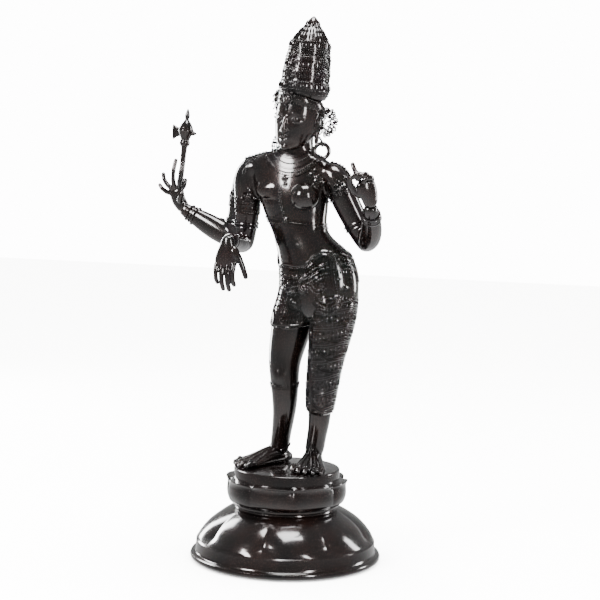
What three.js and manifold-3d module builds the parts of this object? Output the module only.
// A cast bronze figure whose right half is male and left half female, standing on a round double-lotus
// plinth. Millimetres, +Z up. The figure faces -Y, its own left is +X, and the origin is the middle of the
// plinth's underside.

import * as THREE from "three";
import { mergeVertices } from "three/addons/utils/BufferGeometryUtils.js";
import Module from "manifold-3d";

const wasm = await Module();
wasm.setup();

const BLACK_BRONZE = { color: 0x1d1614, roughness: 0.25, metalness: 0.9 };
const FRONT = new THREE.Vector3(0, -1, 0);
const UP = new THREE.Vector3(0, 0, 1);
const LEFT = new THREE.Vector3(1, 0, 0);

// Driving dimensions of the plinth

const PLINTH_TOP = 154; // the round step that the feet stand on
const PETALS = 8; // in each of the two lotus tiers
const PETAL_TURN = -57; // degrees from +X to the middle of a petal of the lower tier
const POINTS_PER_PETAL = 4;

// Each row is a ring of the plinth: its radius and height, how deep the grooves between petals are, how much
// higher the middle of a petal is than its edge, and by how many petals their pattern is turned.
const PLINTH_ROWS = [
  { r: 150.5, z: 0 },
  { r: 158, z: 3.5 },
  { r: 160, z: 8 },
  { r: 157, z: 12.5 },
  { r: 151.5, z: 14.5 },
  { r: 149.5, z: 32 },
  { r: 146, z: 36, groove: 5, lift: -3 },
  { r: 145.5, z: 41, groove: 9, lift: -3 },
  { r: 140, z: 47, groove: 8 },
  { r: 131, z: 57, groove: 6 },
  { r: 119, z: 67, groove: 4.5 },
  { r: 103, z: 77, groove: 3 },
  { r: 85, z: 87, groove: 1 },
  { r: 91, z: 91.5 },
  { r: 88, z: 95 },
  { r: 97.5, z: 101, groove: 1.5, turn: 0.5 },
  { r: 101, z: 112, groove: 3, turn: 0.5 },
  { r: 101.5, z: 126, groove: 5, turn: 0.5 },
  { r: 104, z: 135, groove: 8, lift: 4, turn: 0.5 },
  { r: 88.5, z: 135.5 },
  { r: 89, z: 150.5 },
  { r: 87.5, z: PLINTH_TOP },
];

// Driving dimensions of the figure. Each row is a section: x, y and z of its middle, then its half width
// and half depth. A row of an upright body may end with its slopes: how much it rises to the left and to
// the back.

const HEAD = { at: [10, -3, 729], lean: 6.5, turn: -8, nod: 1 }; // degrees

const TRUNK = [
  [44, 9, 396, 40, 26, 0, 0],
  [45, 9, 418, 62, 42, 0, 0],
  [46, 10, 442, 68.5, 46.5, 0.03, 0.06],
  [47, 9, 470, 67.5, 45, 0.08, 0.2],
  [42.5, 7, 492, 62.5, 42, 0.14, 0.3],
  [36, 5, 511, 57.5, 39, 0.14, 0.3],
  [27, 3, 527, 53, 36, 0.06, 0.1],
  [16.5, 3, 543, 48.5, 33.5, 0, 0],
  [8, 3, 559, 48, 33.5, 0, 0],
  [4, 4, 577, 54, 36, 0, 0],
  [0, 5, 600, 58.5, 37.5, 0, 0],
  [-5, 5, 622, 66, 36, 0, 0],
  [-7, 5, 645, 74, 31, 0, 0],
  [-7, 5, 664, 74, 27, -0.05, 0],
  [-7, 4, 673, 60, 25, -0.05, 0],
  [1, 3, 680, 27, 23, 0, 0],
  [8, 2, 708, 23.5, 25, 0, 0],
];
const GIRDLE_BELTS = [
  { place: 4.95, tall: 8, out: 3.4 },
  { place: 4.35, tall: 9, out: 3 },
  { place: 3.65, tall: 9, out: 3 },
];
const UNDER_BUST_BAND = { place: 8.15, tall: 8, out: 2.4 };

const RIGHT_LEG = [
  [2, 6, 400, 33, 36],
  [-3, 3, 368, 31, 33.5],
  [-9, -1, 334, 26, 29],
  [-5.5, -6, 309, 23.5, 25.5],
  [-4.5, -5, 284, 22, 23.5],
  [-7, 0, 250, 18, 21],
  [-17, 13, 213, 16, 18],
  [-23, 20, 192, 15.5, 17],
  [-28, 27, 168, 15.5, 19],
];
const LEFT_SHANK = [
  [54, 9, 262, 18.5, 22],
  [52, 13, 236, 17.5, 20],
  [47, 18, 216, 16, 18],
  [42, 22, 198, 15.5, 17.5],
  [36, 28, 168, 15.5, 20],
];
const LONG_SKIRT = [
  [76, 9, 432, 36, 43, 0, 0.1],
  [74.5, 7, 400, 34, 41, -0.1, 0.15],
  [69.5, 3, 364, 29.5, 34, -0.18, 0.15],
  [64.5, 2, 331, 25.5, 31, -0.18, 0.15],
  [60.5, 2, 297, 24, 28.5, -0.18, 0.15],
  [56, 6, 266, 21.5, 26, -0.18, 0.15],
  [53.5, 9, 248, 19.5, 24, -0.18, 0.15],
];
const SKIRT_RIDGES = [1.3, 2.15, 3.1, 4.1].map((place) => ({ place, tall: 5, out: 1.6 }));
const SHORT_SKIRT = [
  [18, 6, 450, 34, 43, 0.02, 0.1],
  [11, 6, 424, 38, 48, 0.04, 0.1],
  [7, 5, 404, 38.5, 46, 0.04, 0.1],
  [6.5, 4, 391, 39.5, 46.5, 0.04, 0.1],
];

const RIGHT_UPPER_ARM = [
  [-62, 6, 655, 17, 19],
  [-82, 4, 654, 21, 20],
  [-91, 3, 636, 23, 21.5],
  [-86, 4, 600, 21.5, 19],
  [-88, 8, 573, 20, 17.5],
  [-93, 11, 546, 18.5, 16.5],
  [-96, 13, 526, 16.5, 15],
];
const RIGHT_FOREARM = [
  [-98, 13, 523, 14.5, 14],
  [-93, -14, 525, 16, 15],
  [-88, -40, 527, 13.6, 13],
  [-82, -62, 531, 11.5, 11],
  [-79, -76, 533, 11, 10],
];
const REAR_UPPER_ARM = [
  [-84, 16, 654, 14, 14],
  [-101, 18, 642, 17, 16],
  [-109, 24, 616, 18, 16],
  [-116, 30, 580, 18, 16],
  [-124, 33, 546, 17, 16],
];
const REAR_FOREARM = [
  [-122, 33, 530, 17, 16],
  [-146, 30, 541, 20, 16],
  [-170, 28, 553, 19.5, 14.5],
  [-194, 25, 566, 16, 12],
  [-214, 22, 577, 12, 9.5],
  [-224, 20, 585, 11.5, 9.5],
];
const LEFT_UPPER_ARM = [
  [50, 6, 648, 15, 18],
  [70, 4, 645, 20.5, 20],
  [80, 3, 630, 23, 21],
  [91, 5, 603, 22, 19],
  [105, 8, 577, 21, 18],
  [118, 12, 552, 19.5, 17.5],
  [128, 13, 533, 15.5, 15],
];
const LEFT_FOREARM = [
  [128, 14, 533, 15, 14.5],
  [138, 1, 540, 19, 18],
  [148, -16, 554, 18, 17.5],
  [157, -38, 572, 14.5, 14.5],
  [162, -56, 588, 11.5, 11.5],
  [165, -63, 596, 11, 10.5],
];

const ARM_SIDES = 6;
const ARMLET = (place) => [{ place, tall: 12, out: 3 }];
const BRACELET = (place) => [{ place, tall: 10, out: 3 }];

// Small helpers for closed solids

const point = (a) => new THREE.Vector3(a[0], a[1], a[2]);
const radians = THREE.MathUtils.degToRad;
const circle = (count) => Array.from({ length: count }, (_, i) => (2 * Math.PI * i) / count);

function solidOf(geometry) {
  const bare = geometry.index ? geometry.toNonIndexed() : geometry.clone();
  const merged = mergeVertices(
    new THREE.BufferGeometry().setAttribute("position", bare.getAttribute("position")),
    1e-4,
  );
  const made = (triVerts) =>
    new wasm.Manifold(
      new wasm.Mesh({ numProp: 3, vertProperties: merged.attributes.position.array, triVerts }),
    );
  const faces = new Uint32Array(merged.index.array);
  const body = made(faces);
  return body.volume() > 0 ? body : made(faces.reverse());
}

const join = (solids) => solids.reduce((sum, one) => sum.add(one));

function meshOf(solid, name) {
  const { numProp, numVert, vertProperties, triVerts } = solid.getMesh();
  const position = new Float32Array(numVert * 3);
  for (let i = 0; i < numVert; i += 1) {
    position.set(vertProperties.subarray(i * numProp, i * numProp + 3), i * 3);
  }
  const geometry = new THREE.BufferGeometry()
    .setAttribute("position", new THREE.BufferAttribute(position, 3))
    .setIndex(new THREE.BufferAttribute(new Uint32Array(triVerts), 1));
  geometry.computeVertexNormals();
  const mesh = new THREE.Mesh(geometry, new THREE.MeshStandardMaterial(BLACK_BRONZE));
  mesh.name = name;
  return mesh;
}

// A closed skin over rings of points, with a point in the middle of each end.
function skin(rings) {
  const count = rings[0].length;
  const middle = (ring) =>
    ring.reduce((sum, p) => sum.add(p), new THREE.Vector3()).divideScalar(count);
  const vertices = [...rings.flat(), middle(rings[0]), middle(rings[rings.length - 1])];
  const first = rings.length * count;
  const top = (rings.length - 1) * count;
  const faces = [];
  for (let i = 0; i < count; i += 1) {
    const j = (i + 1) % count;
    for (let r = 0; r + 1 < rings.length; r += 1) {
      const [a, b, c, d] = [r * count + i, r * count + j, (r + 1) * count + i, (r + 1) * count + j];
      faces.push(a, b, d, a, d, c);
    }
    faces.push(first, j, i, first + 1, top + i, top + j);
  }
  const geometry = new THREE.BufferGeometry().setFromPoints(vertices);
  geometry.setIndex(faces);
  return solidOf(geometry);
}

// The row at a place along a list of rows: 2.5 is halfway between the rows 2 and 3.
function rowAt(rows, place) {
  const i = Math.min(rows.length - 2, Math.floor(place));
  return rows[i].map((v, k) => v + (rows[i + 1][k] - v) * (place - i));
}

// Adds raised bands to a list of rows, each a ridge with its place, its height and how far it stands out.
function banded(rows, bands) {
  const added = bands.map(({ place, tall, out }) => {
    const i = Math.floor(place);
    const half = tall / 2 / point(rows[i]).distanceTo(point(rows[i + 1]));
    const ridge = [
      [-1, 0],
      [0, out],
      [1, 0],
    ];
    return ridge.map(([step, grow]) => {
      const row = rowAt(rows, place + step * half);
      row[3] += grow;
      row[4] += grow;
      return { place: place + step * half, row };
    });
  });
  const isUnder = ({ place }) =>
    added.some((band) => place >= band[0].place && place <= band.at(-1).place);
  const kept = rows.map((row, place) => ({ place, row })).filter((one) => !isUnder(one));
  return [...kept, ...added.flat()].sort((a, b) => a.place - b.place).map(({ row }) => row);
}

// A body that stands up, through rings that lie level or slope. `relief` is how far a point stands out.
function upright(rows, sides, relief = () => 0) {
  return skin(
    rows.map(([x, y, z, wide, deep, toLeft = 0, toBack = 0], r) =>
      circle(sides).map((turn, i) => {
        const out = relief(i, r);
        const [dx, dy] = [(wide + out) * Math.cos(turn), (deep + out) * Math.sin(turn)];
        return new THREE.Vector3(x + dx, y + dy, z + toLeft * dx + toBack * dy);
      }),
    ),
  );
}

// An oval ring of points across a direction, its depth towards `facing`.
function oval(middle, direction, wide, deep, sides, facing) {
  const across = new THREE.Vector3().crossVectors(direction, facing).normalize();
  const ahead = new THREE.Vector3().crossVectors(across, direction).normalize();
  return circle(sides).map((turn) =>
    middle
      .clone()
      .addScaledVector(across, wide * Math.cos(turn))
      .addScaledVector(ahead, deep * Math.sin(turn)),
  );
}

// A limb through its sections, each ring square to the limb. A rounded end gets one more ring, drawn in.
function limb(sections, sides, { facing = FRONT, roundStart = false, roundEnd = false } = {}) {
  const last = sections.length - 1;
  const rings = sections.map((s, i) => {
    const direction = point(sections[Math.min(i + 1, last)])
      .sub(point(sections[Math.max(i - 1, 0)]))
      .normalize();
    return { middle: point(s), direction, wide: s[3], deep: s[4] ?? s[3] };
  });
  const dome = (from, sign) => ({
    ...from,
    middle: from.middle.clone().addScaledVector(from.direction, sign * 0.72 * from.wide),
    wide: from.wide * 0.66,
    deep: from.deep * 0.66,
  });
  if (roundStart) rings.unshift(dome(rings[0], -1));
  if (roundEnd) rings.push(dome(rings.at(-1), 1));
  return skin(rings.map((p) => oval(p.middle, p.direction, p.wide, p.deep, sides, facing)));
}

function ball(at, size, { across = 8, down = 4, turn = [0, 0, 0] } = {}) {
  const geometry = new THREE.SphereGeometry(1, across, down)
    .rotateX(Math.PI / 2)
    .scale(...size)
    .applyMatrix4(new THREE.Matrix4().makeRotationFromEuler(new THREE.Euler(...turn.map(radians))))
    .translate(...at);
  return solidOf(geometry);
}

// A finger or toe: its joints, from the knuckle to the tip, and its radius at each end.
function digit(joints, thick, thin) {
  const facing = new THREE.Vector3(0.3, 0, 1).normalize();
  const rows = joints.map((p, i) => [...p, thick + ((thin - thick) * i) / (joints.length - 1)]);
  return limb(rows, 4, { facing });
}

// The plinth, one skin from its foot to its top step

function lotusPlinth() {
  const count = PETALS * POINTS_PER_PETAL;
  // 1 in the groove between two petals, and 0 in the middle of a petal.
  const inGroove = (i, turn) => {
    const within = (((i / POINTS_PER_PETAL - turn) % 1) + 1) % 1;
    return (2 * Math.abs(0.5 - within)) ** 2.5;
  };
  return skin(
    PLINTH_ROWS.map(({ r, z, groove = 0, lift = 0, turn = 0 }) =>
      circle(count).map((angle, i) => {
        const sunk = inGroove(i, turn);
        const radius = r - groove * sunk;
        const at = angle + radians(PETAL_TURN - 180 / PETALS);
        return new THREE.Vector3(radius * Math.cos(at), radius * Math.sin(at), z - lift * sunk);
      }),
    ),
  );
}

// Trunk, legs and feet

function trunk() {
  return [
    upright(banded(TRUNK, [...GIRDLE_BELTS, UNDER_BUST_BAND]), 12),
    ball([33, -27, 606], [23.5, 23, 23.5], { across: 8, down: 6 }),
    ball([36, -49, 604], [3.6, 4, 3.6], { across: 5 }),
    ball([-33, -20, 617], [27, 14, 17], { across: 6 }),
  ];
}

function legs() {
  const kneeCord = { place: 4.05, tall: 4.4, out: 2.2 };
  const anklet = (place) => ({ place, tall: 8, out: 3.6 });
  return [
    limb(banded(RIGHT_LEG, [kneeCord, anklet(7.5)]), 10),
    limb(banded(LEFT_SHANK, [anklet(3.5)]), 9),
  ];
}

const RIGHT_FOOT = {
  heel: [-25, 42],
  ankle: [-29, 28],
  pad: [-59, -28],
  toes: [
    [-47, -58, 5.6],
    [-60, -56, 4.6],
    [-71, -47, 4.4],
    [-80, -35, 4.2],
    [-86, -22, 4],
  ],
};
const LEFT_FOOT = {
  heel: [29, 46],
  ankle: [34, 30],
  pad: [53, -24],
  toes: [
    [33, -47, 5.6],
    [46, -54, 4.6],
    [58, -54, 4.4],
    [70, -50, 4.2],
    [81, -42, 4],
  ],
};

function foot({ heel, ankle, pad, toes }) {
  const at = (share) => [0, 1].map((k) => ankle[k] + (pad[k] - ankle[k]) * share);
  const forward = new THREE.Vector3(pad[0] - heel[0], pad[1] - heel[1], 0).normalize();
  const rows = [
    [heel[0] - forward.x * 8, heel[1] - forward.y * 8, PLINTH_TOP + 8, 8, 8],
    [...heel, PLINTH_TOP + 9, 13, 13],
    [...at(0), PLINTH_TOP + 14, 15, 16],
    [...at(0.33), PLINTH_TOP + 12, 17, 15],
    [...at(0.68), PLINTH_TOP + 8, 21, 10.5],
    [...at(1), PLINTH_TOP + 5, 26, 7.5],
    [pad[0] + forward.x * 13, pad[1] + forward.y * 13, PLINTH_TOP + 3.5, 25, 4.5],
  ];
  const spread = toes.map(([x, y, thick]) => {
    const tip = new THREE.Vector3(x, y, 0);
    const root = tip.clone().addScaledVector(forward, -18);
    return digit(
      [
        [root.x, root.y, PLINTH_TOP + 6],
        [tip.x, tip.y, PLINTH_TOP + thick * 0.8],
      ],
      thick,
      thick * 0.7,
    );
  });
  return [limb(rows, 7, { facing: UP }), ...spread];
}

// The rings of the feet and shanks reach below the sole, and this takes it off flat.
const belowTheSoles = () => solidOf(new THREE.BoxGeometry(400, 400, 60).translate(0, 0, PLINTH_TOP - 30));

// Arms and hands

function arms() {
  const upper = { roundEnd: true };
  const fore = { roundStart: true };
  return [
    limb(banded(RIGHT_UPPER_ARM, ARMLET(4.75)), ARM_SIDES, upper),
    limb(banded(RIGHT_FOREARM, BRACELET(3.4)), ARM_SIDES, { ...fore, facing: UP }),
    limb(REAR_UPPER_ARM, ARM_SIDES, upper),
    limb(banded(REAR_FOREARM, BRACELET(3.6)), ARM_SIDES, fore),
    limb(banded(LEFT_UPPER_ARM, ARMLET(4.5)), ARM_SIDES, upper),
    limb(banded(LEFT_FOREARM, BRACELET(3.6)), ARM_SIDES, { ...fore, facing: LEFT }),
  ];
}

function hangingHand() {
  const palm = [
    [-79, -78, 534, 11, 9],
    [-79, -80, 518, 16, 8.5],
    [-79, -80, 502, 20, 8],
    [-81, -79, 488, 21, 6.5],
  ];
  const fingers = [
    { root: -97, tip: -96, end: 459, thick: 5.2 },
    { root: -86, tip: -85, end: 450, thick: 5.6 },
    { root: -75, tip: -75, end: 450, thick: 5.6 },
    { root: -64, tip: -66, end: 458, thick: 5.2 },
  ].map(({ root, tip, end, thick }) => {
    const joints = [
      [root, -79, 494],
      [(root + tip) / 2, -81, 475],
      [tip, -75, end],
    ];
    return digit(joints, thick, thick * 0.75);
  });
  const thumbJoints = [
    [-63, -78, 516],
    [-52, -76, 500],
    [-46, -74, 480],
  ];
  const thumb = digit(thumbJoints, 6.4, 4.6);
  return [limb(palm, 7), ...fingers, thumb];
}

function axeHand() {
  const palm = [
    [-219, 21, 582, 11, 9],
    [-228, 19, 592, 13, 10],
    [-232, 17, 604, 14, 9.5],
    [-229, 14, 618, 14, 8],
  ];
  const fingers = [
    [[-231, 12, 612], [-230, 4, 636], [-229, 7, 660]],
    [[-222, 12, 614], [-217, 3, 634], [-213, 7, 656]],
    [[-234, 14, 614], [-243, 5, 626], [-250, 0, 638]],
    [[-234, 16, 608], [-247, 9, 613], [-258, 4, 620]],
  ].map((joints) => digit(joints, 5, 3.8));
  const thumb = digit([[-226, 12, 596], [-215, 4, 610], [-210, 3, 629]], 5.4, 4);
  return [limb(palm, 7), ...fingers, thumb];
}

function flowerHand() {
  const palm = [
    [165, -64, 596, 11, 9.5],
    [166, -70, 608, 14, 10],
    [163, -76, 621, 16.5, 9.5],
    [157, -80, 636, 15.5, 8],
  ];
  const fingers = [
    [[152, -84, 634], [152, -95, 645], [146, -98, 655]],
    [[158, -84, 638], [158, -97, 647], [148, -102, 640]],
    [[164, -79, 639], [167, -93, 647], [157, -102, 639]],
    [[169, -74, 634], [173, -85, 642], [167, -97, 636]],
  ].map((joints) => digit(joints, 5, 3.8));
  const thumb = digit([[153, -78, 612], [143, -89, 622], [140, -97, 636]], 5.4, 4);
  return [limb(palm, 7, { facing: new THREE.Vector3(0.7, -0.7, 0) }), ...fingers, thumb];
}

// Head, crown and ear ornaments, in the head's own frame: its middle at the origin, the face towards -Y

const CROWN = [
  [36, 31],
  [43, 35],
  [43, 43],
  [39, 46],
  [42, 54],
  [41, 63],
  [37.5, 66],
  [40, 84],
  [36, 88],
  [38, 106],
  [33.5, 110],
  [35, 128],
  [29.5, 132],
  [19, 151],
  [10.5, 156],
  [12, 161],
  [2, 173],
];
const CROWN_SIDES = 12;

function head() {
  const skull = limb(
    [
      [0, -26, -41, 10, 10],
      [0, -20, -34, 20, 20],
      [0, -12, -22, 29, 29],
      [0, -6, -6, 35, 36],
      [0, -3, 14, 37, 39],
      [0, 1, 40, 34, 36],
    ],
    12,
  );
  const bridgeToTip = [
    [0, -38, 9, 3, 3],
    [0, -43, -4, 4, 4.5],
    [0, -42, -13, 5.5, 4.5],
  ];
  const nose = limb(bridgeToTip, 6, { roundEnd: true });
  const lips = ball([0, -37, -23], [10, 5, 3.6], { across: 6 });
  const eyes = [-1, 1].map((side) => ball([side * 14.5, -32.5, 2], [9.5, 5, 4.6], { across: 6 }));
  const ears = [-1, 1].map((side) => ball([side * 37, 2, -6], [5, 9, 17], { across: 6 }));
  return [skull, nose, lips, ...eyes, ...ears];
}

function crown() {
  const rows = CROWN.map(([r, z]) => [0, 1 + z * 0.05, z, r, r]);
  const rib = (i, r) => (r > 3 && r < 13 && i % 2 ? -1.6 : 0);
  const crest = ball([0, -38, 58], [10, 6, 14], { across: 6 });
  const sideTuft = ball([-42, -12, 44], [6, 8, 9], { across: 5 });
  return [upright(rows, CROWN_SIDES, rib), crest, sideTuft];
}

function earOrnaments() {
  const earRing = new THREE.TorusGeometry(12, 3.6, 4, 12)
    .rotateX(Math.PI / 2)
    .rotateZ(0.25)
    .translate(45, -5, -46);
  const curls = [
    [38, 10, 18, 9, 9],
    [47, 11, 9, 17, 11],
    [51, 12, -2, 19, 12],
    [48, 12, -8, 16, 10],
    [51, 13, -16, 19, 12],
    [44, 14, -32, 12, 10],
    [36, 14, -38, 8, 8],
  ];
  const pendant = [
    [-38, 0, -14, 5, 5],
    [-43, -1, -30, 7, 6],
    [-42, -1, -44, 4.5, 5],
    [-40, -1, -52, 2.5, 2.5],
  ];
  const backLocks = [
    [0, 30, 36, 31, 14],
    [0, 33, 8, 36, 15],
    [0, 30, -30, 38, 14],
    [0, 28, -62, 44, 12],
    [0, 30, -72, 30, 8],
  ];
  return [
    solidOf(earRing),
    ball([43, 0, -26], [5, 6, 9], { across: 6 }),
    upright(curls, 8, (i) => (i % 2 ? -3 : 0)),
    limb(pendant, 6),
    upright(backLocks, 10, (i) => (i % 2 ? -2.4 : 0)),
  ];
}

// Moves solids from the head's own frame to where the head is held.
function heldAsHead(solids) {
  const held = new THREE.Euler(radians(HEAD.nod), radians(HEAD.lean), radians(HEAD.turn), "ZYX");
  const place = new THREE.Matrix4().makeRotationFromEuler(held).setPosition(...HEAD.at);
  return solids.map((solid) => solid.transform(place.elements));
}

// The battle axe in the raised hand

function axe() {
  const [butt, top] = [
    [-223, 11, 606],
    [-208.5, 11, 753],
  ];
  const onShaft = (share) => butt.map((v, k) => v + (top[k] - v) * share);
  const profile = [
    [0, 4.4],
    [0.56, 5],
    [0.58, 9],
    [0.61, 9],
    [0.63, 7],
    [0.69, 12],
    [0.76, 13],
    [0.84, 6.5],
    [0.87, 3],
    [0.92, 4.4],
    [0.99, 1.4],
  ];
  const [x, y, z] = onShaft(0.72);
  const blade = [
    [-3, 8],
    [-16, 7],
    [-21, 12],
    [-24, 13],
  ].map(([out, half]) => [x + out, y - 2, z, 2.6, half]);
  return [
    limb(profile.map(([share, r]) => [...onShaft(share), r, r]), 8),
    limb(blade, 6, { facing: UP }),
    ball([x + 14, y, z - 3], [5, 4, 4], { across: 5 }),
  ];
}

// Dress and jewellery that stand proud of the body

// A necklace lies over the shoulders and hangs on the chest. It ends under the locks at the back.
function necklaces() {
  const [steps, past] = [8, 0.36]; // radians that each end runs past the shoulder
  return [
    { wide: 52, deep: 32, top: 672, hang: 32, thick: 4 },
    { wide: 35, deep: 29, top: 678, hang: 27, thick: 3.4 },
  ].map(({ wide, deep, top, hang, thick }) => {
    const rows = Array.from({ length: steps + 1 }, (_, i) => {
      const turn = -past + ((Math.PI + 2 * past) * i) / steps;
      const drop = hang * Math.max(0, Math.sin(turn)) ** 1.4;
      return [4 - wide * Math.cos(turn), 2 - deep * Math.sin(turn), top - drop, thick, thick * 0.7];
    });
    return limb(rows, 5, { facing: UP });
  });
}

function chestThread() {
  const route = [
    [50, -28, 638],
    [24, -37, 632],
    [5, -41, 613],
    [-3, -39, 590],
    [3, -36, 566],
  ];
  return [
    limb(route.map((p) => [...p, 3.4, 2.6]), 5, { facing: new THREE.Vector3(0.2, -1, 0).normalize() }),
    ball([-4, -35, 562], [7, 4, 6], { across: 6 }),
  ];
}

function armOrnaments() {
  return [
    ball([-97, -10, 594], [11, 9, 20], { across: 6 }),
    ball([108, -8, 591], [12, 10, 20], { across: 6, turn: [0, -24, 0] }),
    ball([106, -2, 634], [8, 9, 8], { across: 6 }),
    ball([-78, -4, 674], [15, 8, 5], { across: 6 }),
    ball([70, -4, 666], [16, 7, 5], { across: 6, turn: [0, 22, 0] }),
  ];
}

function sashes() {
  const loop = [
    [28, -38, 500, 5, 4],
    [50, -43, 516, 6, 4.5],
    [68, -41, 506, 7, 5],
    [75, -41, 482, 7, 5],
    [77, -40, 456, 8, 5],
    [80, -37, 432, 10, 5],
    [82, -34, 424, 4, 3],
  ];
  return [
    limb(loop, 7),
    ball([22, -41, 470], [13, 7, 15], { across: 6 }),
    ball([19, -41, 441], [13, 7, 15], { across: 7 }),
    ball([48, -40, 446], [13, 7, 15], { across: 6 }),
    ball([-17, -18, 442], [7, 10, 24], { across: 6 }),
    ball([-19, -8, 507], [5, 9, 6], { across: 6 }),
    ball([103, 6, 492], [8, 16, 22], { across: 6 }),
  ];
}

function skirts() {
  const hem = { place: 5.7, tall: 7, out: 2 };
  const fold = (i, r) => (r > 0 && i % 2 ? -4.5 : 0);
  const pleat = [
    [51, -27, 420, 6, 6],
    [51, -24, 384, 6, 6],
    [47, -18, 320, 5, 5],
    [43, -10, 262, 4.5, 5],
  ];
  return [
    upright(banded(LONG_SKIRT, [...SKIRT_RIDGES, hem]), 11),
    limb(pleat, 5, { roundEnd: true }),
    upright(SHORT_SKIRT, 18, fold),
  ];
}

function figure() {
  return join([
    ...trunk(),
    ...legs(),
    ...foot(RIGHT_FOOT),
    ...foot(LEFT_FOOT),
    ...arms(),
    ...hangingHand(),
    ...axeHand(),
    ...flowerHand(),
    ...heldAsHead([...head(), ...crown(), ...earOrnaments()]),
    ...axe(),
    ...necklaces(),
    ...chestThread(),
    ...armOrnaments(),
    ...sashes(),
    ...skirts(),
  ]).subtract(belowTheSoles());
}

const part = new THREE.Group();
part.add(meshOf(figure(), "bronze_figure"));
part.add(meshOf(lotusPlinth(), "lotus_plinth"));

export default part;
